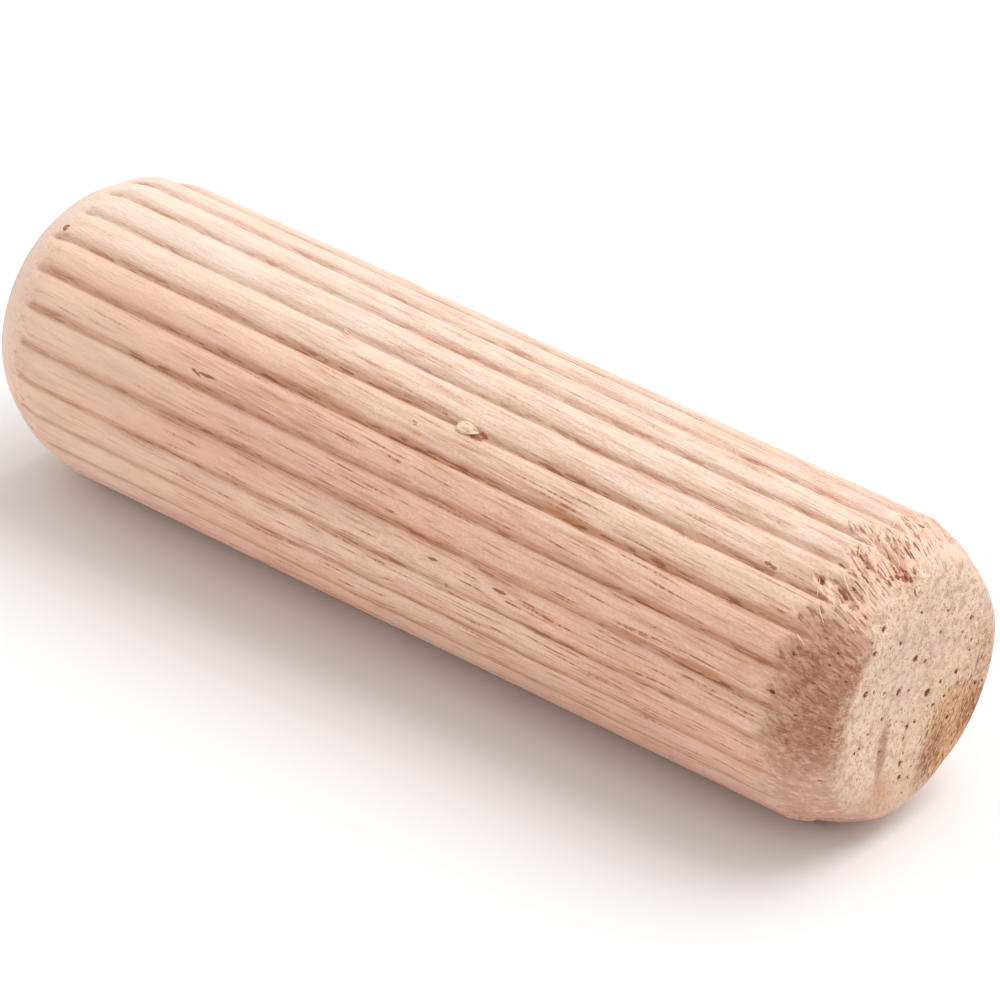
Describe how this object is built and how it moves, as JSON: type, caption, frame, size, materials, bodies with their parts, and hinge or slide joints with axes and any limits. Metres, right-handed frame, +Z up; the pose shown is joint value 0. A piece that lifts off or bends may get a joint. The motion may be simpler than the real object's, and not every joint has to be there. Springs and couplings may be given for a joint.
{
  "type": "dowel pin",
  "caption": "Fluted wooden dowel pin with straight flutes all round and chamfered ends, for glued joints in wood.",
  "frame": {"origin": "on the surface the pin lies on, under the middle of its length", "axes": "+X along the pin towards its front end, +Z up"},
  "size_m": [0.04, 0.012, 0.012],
  "materials": {
    "pin_wood": "raw, unfinished, lightly compressed"
  },
  "bodies": {
    "root": {"dowel_pin": "pin_wood"}
  },
  "joints": []
}
